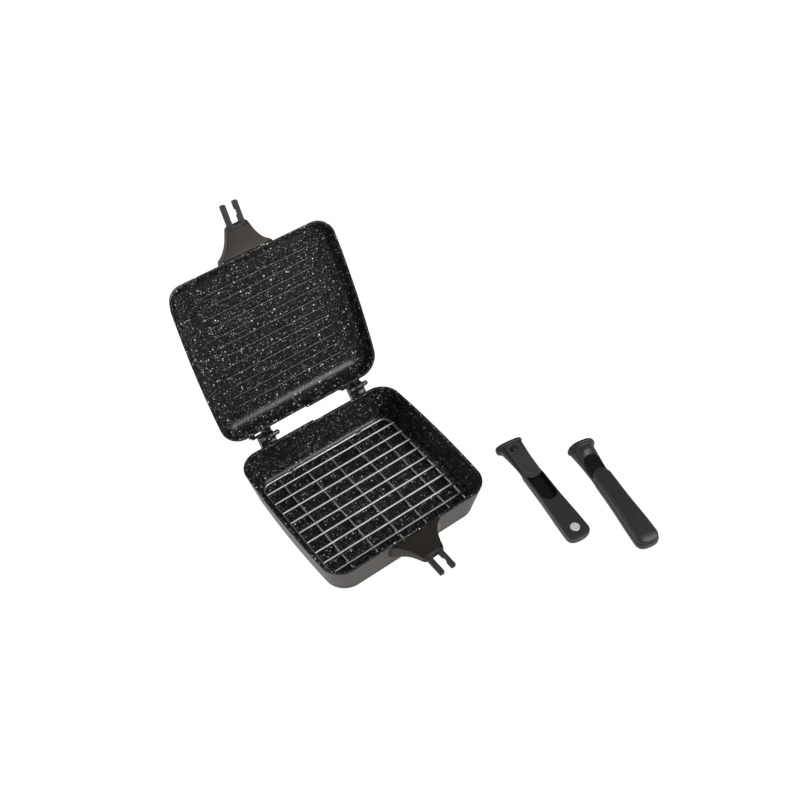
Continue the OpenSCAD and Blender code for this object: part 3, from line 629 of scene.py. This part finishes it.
def section(u, hw, z0, z1, e, ch, n=32, rim=0.0):
    """Closed section, flat below with a rounded edge, rounded above."""
    pts = []
    for a in range(0, 91, 15):
        q = math.radians(a)
        pts.append((u, hw - ch + ch * math.sin(q), z0 + ch - ch * math.cos(q)))
    for i in range(n + 1):
        c, s = math.cos(math.pi * i / n), math.sin(math.pi * i / n)
        pts.append((u, hw * math.copysign(abs(c) ** (2 / e), c), z0 + ch + 0.4 + (z1 - z0 - ch - 0.4) * max(0, s) ** (2 / e)))
    for a in range(90, -1, -15):
        q = math.radians(a)
        pts.append((u, -hw + ch - ch * math.sin(q), z0 + ch - ch * math.cos(q)))
    return pts


def flange_ring(u, g, n=44):
    hw, h = FW / 2 - g, FH - g
    pts = []
    for i in range(n + 1):
        c, s = math.cos(math.pi * i / n), math.sin(math.pi * i / n)
        pts.append((u, hw * math.copysign(abs(c) ** (2 / 2.6), c), 5.5 + (h - 5.5) * max(0, s) ** (2 / 2.3)))
    for i in range(1, n):
        c, s = math.cos(math.pi * i / n), math.sin(math.pi * i / n)
        pts.append((u, -hw * math.copysign(abs(c) ** (2 / 2.6), c), 5.5 - (5.5 - g) * max(0, s) ** (2 / 2.6)))
    return pts


def slot_pts(g=0.0, n=20):
    r = 8.9 + g
    return arc(24.9, 0, r, 90, 270, n) + arc(74.1, 0, r, -90, 90, n)


def strap_pts(g=0.0):
    """Outline of the neck cover: tapered, its tail end a shallow arc."""
    def edge(u):
        return 8.4 + g + (min(u, 46) - 5.4) * 0.9 / 40.6
    r = 14 + g
    ang = math.degrees(math.asin(edge(50) / r)) if edge(50) < r else 90
    x_end = 38 + math.sqrt(max(0, r * r - edge(46) ** 2))
    right = [(5.4 - g, edge(5.4)), (20, edge(20)), (34, edge(34)), (min(46, x_end), edge(46))]
    return right + arc(38, 0, r, ang, -ang, 24) + [(x, -y) for x, y in reversed(right)]


def body_piece(name):
    U = [1.5, 3] + [5 + 1.5 * i for i in range(19)] + [33.3, 34.3] + [36 + 2.2 * i for i in range(39)] + [HL - TAIL + TAIL * math.sin(math.radians(a)) for a in range(4, 90, 7)] + [HL - 0.05]
    o = loft(name, [section(u, tab(HW, u) * tail_f(u), tab(UNDER, u), tab(TOP, u), tab(EXPO, u), 1.3 * max(0.15, tail_f(u))) for u in U])
    fl = loft("f", [flange_ring(u, g) for u, g in [(0, 1.1), (0.1, 0.75), (0.35, 0.38), (0.8, 0.1), (1.3, 0), (2.7, 0), (3.2, 0.12), (3.6, 0.45), (3.9, 0.9), (4.2, 1.5)]])
    # second, smaller step of the flange's bead
    f2 = loft("f", [flange_ring(u, g) for u, g in [(3.6, 1.75), (4.6, 1.8), (5.3, 1.95), (5.8, 2.3), (6.1, 2.9)]])
    boolean(o, [fl, f2], "UNION")
    boss = cyl("c", (11.3, 0, 0), (11.3, 0, 9), 2.3, n=32)
    window = prism("c", slot_pts(), "z", -1, 29)
    boolean(window, [cyl("c", (25.3, 0, 10.6), (25.3, 0, 15.6), 8.7, 14.36, 72)], "UNION")
    boolean(window, [cyl("c", (11.3, 0, -2), (11.3, 0, 9), 2.3, n=32)], "DIFFERENCE")
    socket = box("c", -1, -9.3, 3.8, 22, 9.3, 7.6, 0.5, 2)
    boolean(socket, [boss], "DIFFERENCE")
    cuts = [window, socket, box("c", 6.4, 2.35, 1, 18.4, 5.45, 8), prism("c", strap_pts(0.15), "z", -1, 2.45),
            cyl("c", (11.3, 0, -1), (11.3, 0, 7.5), 1.25, n=24), cyl("c", (121.2, 0, -1), (121.2, 0, 3.05), 5.06, n=56),
            cyl("c", (PIVOT[0], -9.8, PIVOT[1]), (PIVOT[0], 9.8, PIVOT[1]), 1.53, n=28)]
    return boolean(o, cuts, "DIFFERENCE")


def grip_piece(name):
    def f(u):
        a = math.sqrt(max(0.02, 1 - ((34.5 + NOSE - u) / NOSE) ** 2)) if u < 34.5 + NOSE else 1
        return min(a, tail_f(u, HL - 0.8))
    U = [34.6, 34.8, 35.2, 35.7, 36.4, 37.2, 38.2, 39.4, 41, 43, 45.5] + [48 + 2.4 * i for i in range(31)] + [HL - 0.8 - TAIL + TAIL * math.sin(math.radians(a)) for a in range(4, 84, 6)] + [HL - 0.92]
    U = sorted(set(U))
    o = loft(name, [section(u, (tab(HW, u) - 0.6) * f(u), SEAM + 0.02, tab(CROWN, u) - (0.5 if u < 60 else 2.2) * (1 - f(u)), 3.6, 0.5 * f(u)) for u in U])
    return boolean(o, prism("c", slot_pts(-0.2), "z", -9, 9.5), "DIFFERENCE")


def neck_piece(name):
    o = prism(name, strap_pts(), "z", 0, 2.35, 0.55, 3)
    hollow = cyl("c", (14, 0, -60.1), (70, 0, -60.1), 60.55, n=512)
    return boolean(o, [box("c", 6.4, 2.3, 1.2, 18.4, 5.5, 4.2), hollow,
                       lathe("c", (11.3, 0, 0), (0, 0, 1), [(-1, 5.2), (-0.05, 5.1), (0.1, 4.85), (0.4, 4.62), (1.2, 4.6)], 56),
                       cyl("c", (11.3, 0, -1), (11.3, 0, 5), 1.6, n=28)], "DIFFERENCE")


def lever_piece(name):
    pts = [(17.4, 9.9), (17.4, 12), (20, 11.2), (25, 10.4), (31, 9.9), (34.5, 9.2), (47, 9), (53, 8.3), (60, 7), (70, 6.3),
           (81.2, 6), (81.2, 3.1), (74, 3.9), (66, 4.2), (58, 4), (50, 3.4), (40, 4.1), (25.5, 4.9), (25.5, 9.7)]
    o = prism(name, pts, "y", -15, 15)
    plan = prism("c", [(max(17.2, x), y) for x, y in slot_pts(-0.43, 28)], "z", -5, 35)
    boolean(o, plan, "INTERSECT")
    bevelled(o, 0.45, 3, 40)
    boolean(o, [box("c", 17.6, -3.8, 4.8, 26.6, 3.8, 10.4), box("c", 7.4, 2.6, 4.3, 18.4, 3.7, 5.6, 0.15), box("c", 7.4, 2.6, 4.3, 11, 5, 5.6, 0.15)], "UNION")
    return boolean(o, [cyl("c", (PIVOT[0], -10, PIVOT[1]), (PIVOT[0], 10, PIVOT[1]), 1.56, n=28), box("c", PIVOT[0] - 4.6, -2.6, 0, PIVOT[0] + 4.6, 2.6, 8.9)], "DIFFERENCE")


def screw_piece(name):
    o = lathe(name, (11.3, 0, 0), (0, 0, 1), [(0.1, 1.9), (0.13, 2.15), (0.3, 2.4), (0.55, 2.62), (0.75, 2.7), (1.1, 2.7), (1.16, 2.6), (1.17, 1.2), (6.6, 1.2), (7.2, 0.5)], 48)
    return boolean(o, [box("c", 11.3 - a, -b, 0, 11.3 + a, b, 0.7) for a, b in ((1.5, 0.3), (0.3, 1.5))], "DIFFERENCE")


def magnet_piece(name):
    return lathe(name, (121.2, 0, 0), (0, 0, 1), [(0.05, 4.5), (0.07, 4.6), (0.13, 4.68), (0.4, 4.93), (0.46, 5.0), (2.6, 5.0), (2.95, 4.7)], 64)


def pin_piece(name):
    return lathe(name, (PIVOT[0], 0, PIVOT[1]), (0, 1, 0), [(-9.7, 1.2), (-9.6, 1.42), (-9.4, 1.5), (9.4, 1.5), (9.6, 1.42), (9.7, 1.2)], 32)


def spring_piece(name):
    path = [(PIVOT[0] - 2.4, -1.65, PIVOT[1] + 3.3)]
    for i in range(0, 3 * 24 + 1):
        a = math.pi + 2 * math.pi * i / 24
        path.append((PIVOT[0] + 2.4 * math.cos(a), -1.65 + 1.1 * i / 24, PIVOT[1] + 2.4 * math.sin(a)))
    path.append((PIVOT[0] - 2.4, 1.65, PIVOT[1] - 2.6))
    return tube(name, path, 0.4, 10)


LEFT = (Matrix.Translation((153.3, -40.5, 0)) @ Matrix.Rotation(math.radians(-97.6), 4, "Z")
        @ Matrix.Rotation(math.asin((FH - 13.5) / 113.9), 4, "Y") @ Matrix.Translation((0, 0, FH + 0.08)) @ Matrix.Rotation(math.pi, 4, "X"))
RIGHT = Matrix.Translation((213.1, -86.5, 0)) @ Matrix.Rotation(math.radians(-102.1), 4, "Z")
HANDLE = {"body": body_piece, "grip_cover": grip_piece, "neck_cover": neck_piece, "release_lever": lever_piece,
          "lever_pin": pin_piece, "lever_spring": spring_piece, "screw": screw_piece, "magnet": magnet_piece}
handle_objs = {}
for side, M in (("left", LEFT), ("right", RIGHT)):
    for part, build in HANDLE.items():
        node = f"{side}_handle_{part}"
        handle_objs[node] = moved(build("v_" + node), M)


# ------------------------------------------------------------------ materials
def material(name, color, rough, metal=0.0, spec=0.5, coat=0.0, coat_rough=0.1):
    m = bpy.data.materials.new(name)
    m.use_nodes = True
    b = m.node_tree.nodes["Principled BSDF"]
    b.inputs["Base Color"].default_value = (*color, 1)
    b.inputs["Roughness"].default_value = rough
    b.inputs["Metallic"].default_value = metal
    b.inputs["Specular IOR Level"].default_value = spec
    b.inputs["Coat Weight"].default_value = coat
    b.inputs["Coat Roughness"].default_value = coat_rough
    return m, m.node_tree.nodes, m.node_tree.links, b


def node(nodes, kind, **kw):
    n = nodes.new(kind)
    for k, v in kw.items():
        setattr(n, k, v)
    return n


def coords(nodes, links, offset=(0, 0, 0)):
    tc = nodes.new("ShaderNodeTexCoord")
    mp = nodes.new("ShaderNodeMapping")
    mp.inputs["Location"].default_value = offset
    links.new(tc.outputs["Object"], mp.inputs["Vector"])
    return mp.outputs["Vector"]


def noise(nodes, links, vec, scale, detail=3.0, rough=0.55):
    n = nodes.new("ShaderNodeTexNoise")
    n.inputs["Scale"].default_value = scale
    n.inputs["Detail"].default_value = detail
    n.inputs["Roughness"].default_value = rough
    links.new(vec, n.inputs["Vector"])
    return n.outputs["Fac"]


def ramp(nodes, links, fac, stops):
    r = nodes.new("ShaderNodeValToRGB")
    while len(r.color_ramp.elements) < len(stops):
        r.color_ramp.elements.new(0.5)
    for e, (p, c) in zip(r.color_ramp.elements, stops):
        e.position = p
        e.color = (*c, 1) if hasattr(c, "__len__") else (c, c, c, 1)
    links.new(fac, r.inputs["Fac"])
    return r.outputs["Color"]


def math_node(nodes, links, op, a, b=None, clamp=False):
    n = nodes.new("ShaderNodeMath")
    n.operation = op
    n.use_clamp = clamp
    for i, v in enumerate((a, b)):
        if v is None:
            continue
        if hasattr(v, "links") or hasattr(v, "is_output"):
            links.new(v, n.inputs[i])
        else:
            n.inputs[i].default_value = v
    return n.outputs[0]


def mix_color(nodes, links, fac, a, b):
    n = nodes.new("ShaderNodeMix")
    n.data_type = "RGBA"
    links.new(fac, n.inputs[0])
    for k, v in ((6, a), (7, b)):
        if hasattr(v, "is_output"):
            links.new(v, n.inputs[k])
        else:
            n.inputs[k].default_value = (*v, 1)
    return n.outputs[2]


def bump(nodes, links, height, bsdf, strength, distance):
    n = nodes.new("ShaderNodeBump")
    n.inputs["Strength"].default_value = strength
    n.inputs["Distance"].default_value = distance
    links.new(height, n.inputs["Height"])
    links.new(n.outputs["Normal"], bsdf.inputs["Normal"])


def specks(nodes, links, vec, per_m, rmax, power, lo=0.0):
    """Spots of many sizes: 1 inside a spot, 0 outside, and how bright each spot is."""
    v = nodes.new("ShaderNodeTexVoronoi")
    v.feature = "F1"
    v.inputs["Scale"].default_value = per_m
    links.new(vec, v.inputs["Vector"])
    sep = nodes.new("ShaderNodeSeparateColor")
    links.new(v.outputs["Color"], sep.inputs[0])
    size = math_node(nodes, links, "POWER", sep.outputs[0], power)
    size = math_node(nodes, links, "MULTIPLY", size, rmax)
    size = math_node(nodes, links, "ADD", size, lo)
    d = math_node(nodes, links, "SUBTRACT", size, v.outputs["Distance"])
    on = math_node(nodes, links, "MULTIPLY", d, 14.0, clamp=True)
    return on, sep.outputs[1]


def nonstick():
    m, n, l, b = material("nonstick_coat", (0.004, 0.004, 0.0044), 0.35, spec=0.23)
    vec = coords(n, l)
    on1, br1 = specks(n, l, vec, 380.0, 0.36, 2.0)
    on2, br2 = specks(n, l, coords(n, l, (0.37, 0.11, 0.53)), 720.0, 0.46, 1.0)
    on3, br3 = specks(n, l, coords(n, l, (0.71, 0.43, 0.29)), 1150.0, 0.42, 0.8)
    t1 = math_node(n, l, "MULTIPLY", on1, math_node(n, l, "POWER", br1, 0.8))
    t2 = math_node(n, l, "MULTIPLY", math_node(n, l, "MULTIPLY", on2, math_node(n, l, "POWER", br2, 1.5)), 0.45)
    t3 = math_node(n, l, "MULTIPLY", math_node(n, l, "MULTIPLY", on3, math_node(n, l, "POWER", br3, 2.0)), 0.22)
    t = math_node(n, l, "MAXIMUM", math_node(n, l, "MAXIMUM", t1, t2), t3, clamp=True)
    cloud = noise(n, l, vec, 40.0, 3)
    basec = ramp(n, l, cloud, [(0.3, (0.0014, 0.0014, 0.0017)), (0.7, (0.0042, 0.0042, 0.0047))])
    l.new(mix_color(n, l, t, basec, (0.78, 0.78, 0.79)), b.inputs["Base Color"])
    h = math_node(n, l, "ADD", noise(n, l, vec, 900.0, 2), math_node(n, l, "MULTIPLY", t, 0.6))
    bump(n, l, h, b, 0.12, 0.0002)
    return m


def bronze():
    m, n, l, b = material("satin_bronze", (0.05, 0.045, 0.04), 0.46, metal=0.9, spec=0.4)
    vec = coords(n, l)
    c = ramp(n, l, noise(n, l, vec, 25.0, 4), [(0.25, (0.039, 0.0335, 0.029)), (0.75, (0.052, 0.045, 0.039))])
    l.new(c, b.inputs["Base Color"])
    bump(n, l, noise(n, l, vec, 2200.0, 3), b, 0.12, 0.0001)
    return m


def fork_steel():
    m, n, l, b = material("coated_steel", (0.03, 0.03, 0.03), 0.6, metal=0.2, spec=0.35)
    vec = coords(n, l)
    f = noise(n, l, vec, 1400.0, 4, 0.7)
    l.new(ramp(n, l, f, [(0.38, 0.008), (0.56, 0.03), (0.68, 0.09)]), b.inputs["Base Color"])
    bump(n, l, f, b, 0.5, 0.0003)
    return m


def rack_wire():
    m, n, l, b = material("bright_wire", (0.86, 0.85, 0.84), 0.28, metal=1.0)
    vec = coords(n, l)
    l.new(ramp(n, l, noise(n, l, vec, 120.0, 3), [(0.3, (0.26, 0.26, 0.26)), (0.7, (0.34, 0.34, 0.34))]), b.inputs["Base Color"])
    r = ramp(n, l, noise(n, l, vec, 300.0, 2), [(0.3, 0.38), (0.7, 0.46)])
    l.new(r, b.inputs["Roughness"])
    return m


def small_steel(name, color, rough, metal=1.0):
    m, n, l, b = material(name, color, rough, metal=metal)
    vec = coords(n, l)
    lo, hi = tuple(c * 0.85 for c in color), tuple(min(1, c * 1.12) for c in color)
    l.new(ramp(n, l, noise(n, l, vec, 500.0, 4), [(0.3, lo), (0.7, hi)]), b.inputs["Base Color"])
    bump(n, l, noise(n, l, vec, 1800.0, 3), b, 0.15, 0.0001)
    return m


def plastic(name, lo, hi, rough, spec=0.45, grain=0.25):
    m, n, l, b = material(name, (hi, hi, hi), rough, spec=spec)
    vec = coords(n, l)
    l.new(ramp(n, l, noise(n, l, vec, 260.0, 5, 0.65), [(0.3, lo), (0.7, hi)]), b.inputs["Base Color"])
    bump(n, l, noise(n, l, vec, 1500.0, 4, 0.7), b, grain, 0.0002)
    return m


MAT_NONSTICK, MAT_BRONZE, MAT_FORK, MAT_RACK = nonstick(), bronze(), fork_steel(), rack_wire()
MAT_SCREW = small_steel("dark_screw_steel", (0.25, 0.24, 0.23), 0.4)
MAT_PIN = small_steel("hinge_pin_steel", (0.07, 0.07, 0.07), 0.42)
MAT_STEEL = small_steel("bare_steel", (0.62, 0.61, 0.60), 0.3)
MAT_MAGNET = small_steel("magnet_nickel", (0.62, 0.62, 0.61), 0.4, 0.45)
MAT_GRIP = plastic("grip_plastic_matt", 0.010, 0.0175, 0.5, spec=0.4, grain=0.35)
# painted light: the neck cover uses the same grip plastic with its colour raised, standing in for the brighter light
# the neck cover catches
MAT_GRIP_PAINTED_LIGHT = plastic("neck_plastic_matt", 0.018, 0.034, 0.44, grain=0.3)
MAT_LEVER = plastic("lever_plastic_gloss", 0.0018, 0.003, 0.4, spec=0.2, grain=0.05)


def dress(o, body, nodes, slot, mats, deg=32):
    shade(o, deg)
    if len(mats) == 1:
        o.data.materials.clear()
        o.data.materials.append(mats[0])
    else:
        for i, mt in enumerate(mats):
            o.data.materials[i] = mt
    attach(o, body)
    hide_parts(*nodes)


dress(base, "base", ["base_pan"], "cast_shell", [MAT_BRONZE, MAT_NONSTICK])
dress(lid, "lid", ["lid_pan"], "cast_shell", [MAT_BRONZE, MAT_NONSTICK])
dress(base_fork, "base", ["base_fork"], "fork_steel", [MAT_FORK])
dress(lid_fork, "lid", ["lid_fork"], "fork_steel", [MAT_FORK])
dress(base_screws, "base", ["base_fork_screws"], "screw_steel", [MAT_SCREW])
dress(lid_screws, "lid", ["lid_fork_screws"], "screw_steel", [MAT_SCREW])
dress(pins, "pins", ["hinge_pins"], "pin_steel", [MAT_PIN])
dress(border, "rack", ["rack_border"], "rack_wire", [MAT_RACK], 60)
dress(longs, "rack", ["rack_long_wires"], "rack_wire", [MAT_RACK], 60)
dress(crosses, "rack", ["rack_cross_wires"], "rack_wire", [MAT_RACK], 60)
FINISH = {"body": ("grip_plastic", MAT_GRIP), "grip_cover": ("grip_plastic", MAT_GRIP), "neck_cover": ("grip_plastic", MAT_GRIP_PAINTED_LIGHT),
          "release_lever": ("lever_plastic", MAT_LEVER), "lever_pin": ("small_steel", MAT_STEEL), "lever_spring": ("small_steel", MAT_STEEL),
          "screw": ("small_steel", MAT_PIN), "magnet": ("magnet", MAT_MAGNET)}
for side in ("left", "right"):
    for part, (slot, mt) in FINISH.items():
        n_ = f"{side}_handle_{part}"
        body = f"{side}_lever" if part == "release_lever" else f"{side}_handle"
        dress(handle_objs[n_], body, [n_], slot, [mt])

# ---------------------------------------------------------- floor and lights
bpy.ops.mesh.primitive_plane_add(size=12, location=(0.1, 0.1, -0.0002))
floor = bpy.context.object
floor.name = "floor"
mf, nf, lf, bf = material("floor_white", (0.14, 0.14, 0.14), 0.9, spec=0.1)
bf.inputs["Emission Color"].default_value = (1, 1, 1, 1)
# the glow fades outside the picture towards the front, so that the pans mirror
# a darker room there; behind the object floor and wall stay pale
BACK = (-0.7, 0.714, 0)


def ramp(nodes, links, source, a, b, lo, hi):
    m = nodes.new("ShaderNodeMapRange")
    m.interpolation_type = "SMOOTHSTEP"
    for i, x in zip((1, 2, 3, 4), (a, b, lo, hi)):
        m.inputs[i].default_value = x
    links.new(source, m.inputs[0])
    return m.outputs[0]


def along_back(nodes, links, source):
    d = nodes.new("ShaderNodeVectorMath")
    d.operation = "DOT_PRODUCT"
    d.inputs[1].default_value = BACK
    links.new(source, d.inputs[0])
    return d.outputs["Value"]


def join(nodes, links, how, a, b):
    m = nodes.new("ShaderNodeMath")
    m.operation = how
    links.new(a, m.inputs[0])
    if isinstance(b, float):
        m.inputs[1].default_value = b
    else:
        links.new(b, m.inputs[1])
    return m.outputs[0]


tcf, sub, ln = nf.new("ShaderNodeTexCoord"), nf.new("ShaderNodeVectorMath"), nf.new("ShaderNodeVectorMath")
sub.operation, ln.operation = "SUBTRACT", "LENGTH"
sub.inputs[1].default_value = (0.2, 0.4, 0)
lf.new(tcf.outputs["Object"], sub.inputs[0])
lf.new(sub.outputs[0], ln.inputs[0])
round_fade = ramp(nf, lf, ln.outputs["Value"], 1.0, 1.7, 1.0, 0.1)
back_glow = ramp(nf, lf, along_back(nf, lf, sub.outputs[0]), 0.15, 0.55, 0.1, 1.0)
lf.new(join(nf, lf, "MAXIMUM", round_fade, back_glow), bf.inputs["Emission Strength"])
floor.data.materials.append(mf)
floor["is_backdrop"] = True

world = bpy.data.worlds.new("studio")
S.world = world
world.use_nodes = True
bg = world.node_tree.nodes["Background"]
bg.inputs["Color"].default_value = (1, 1, 1, 1)
nw, lw = world.node_tree.nodes, world.node_tree.links
tcw, sxyz = nw.new("ShaderNodeTexCoord"), nw.new("ShaderNodeSeparateXYZ")
lw.new(tcw.outputs["Generated"], sxyz.inputs[0])
low = ramp(nw, lw, sxyz.outputs[2], 0.3, 0.5, 1.0, 0.0)
behind = ramp(nw, lw, along_back(nw, lw, tcw.outputs["Generated"]), 0.1, 0.38, 0.0, 0.8)
lw.new(join(nw, lw, "ADD", join(nw, lw, "MULTIPLY", low, behind), 0.24), bg.inputs["Strength"])


def area(name, loc, target, sx, sy, power):
    d = bpy.data.lights.new(name, "AREA")
    d.shape = "RECTANGLE"
    d.size, d.size_y = sx, sy
    d.energy = power
    o = bpy.data.objects.new(name, d)
    o.location = loc
    o.rotation_euler = (Vector(target) - Vector(loc)).to_track_quat("-Z", "Y").to_euler()
    S.collection.objects.link(o)
    return o


area("key", (0.92, -1.42, 1.58), (0.06, 0.04, 0.05), 0.9, 0.9, 51)
area("rim", (-1.15, 1.1, 1.5), (0.1, -0.02, 0.02), 0.5, 0.5, 11)

# ------------------------------------------------------------------- camera
cam = bpy.data.cameras.new("camera")
cam.sensor_width = 36.0
cam.sensor_fit = "HORIZONTAL"
cam.lens = 1109.37 * 36.0 / 800.0
cam.clip_start, cam.clip_end = 0.05, 50
co = bpy.data.objects.new("camera", cam)
S.collection.objects.link(co)
R_ = Matrix(((0.8054146, 0.46123964, -0.37224363), (-0.59148025, 0.58499404, -0.55491719), (-0.03818951, 0.66711316, 0.74397688)))
co.matrix_world = Matrix.Translation((-0.34336, -0.58612, 0.90199)) @ R_.to_4x4()
S.camera = co
S.view_settings.view_transform = "Standard"

bpy.context.view_layer.update()
last_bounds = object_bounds()
plain = lambda b: [[float(x) for x in p] if hasattr(p, "__len__") else float(p) for p in b]
{"cad": plain(first_bounds), "scene": plain(last_bounds)}
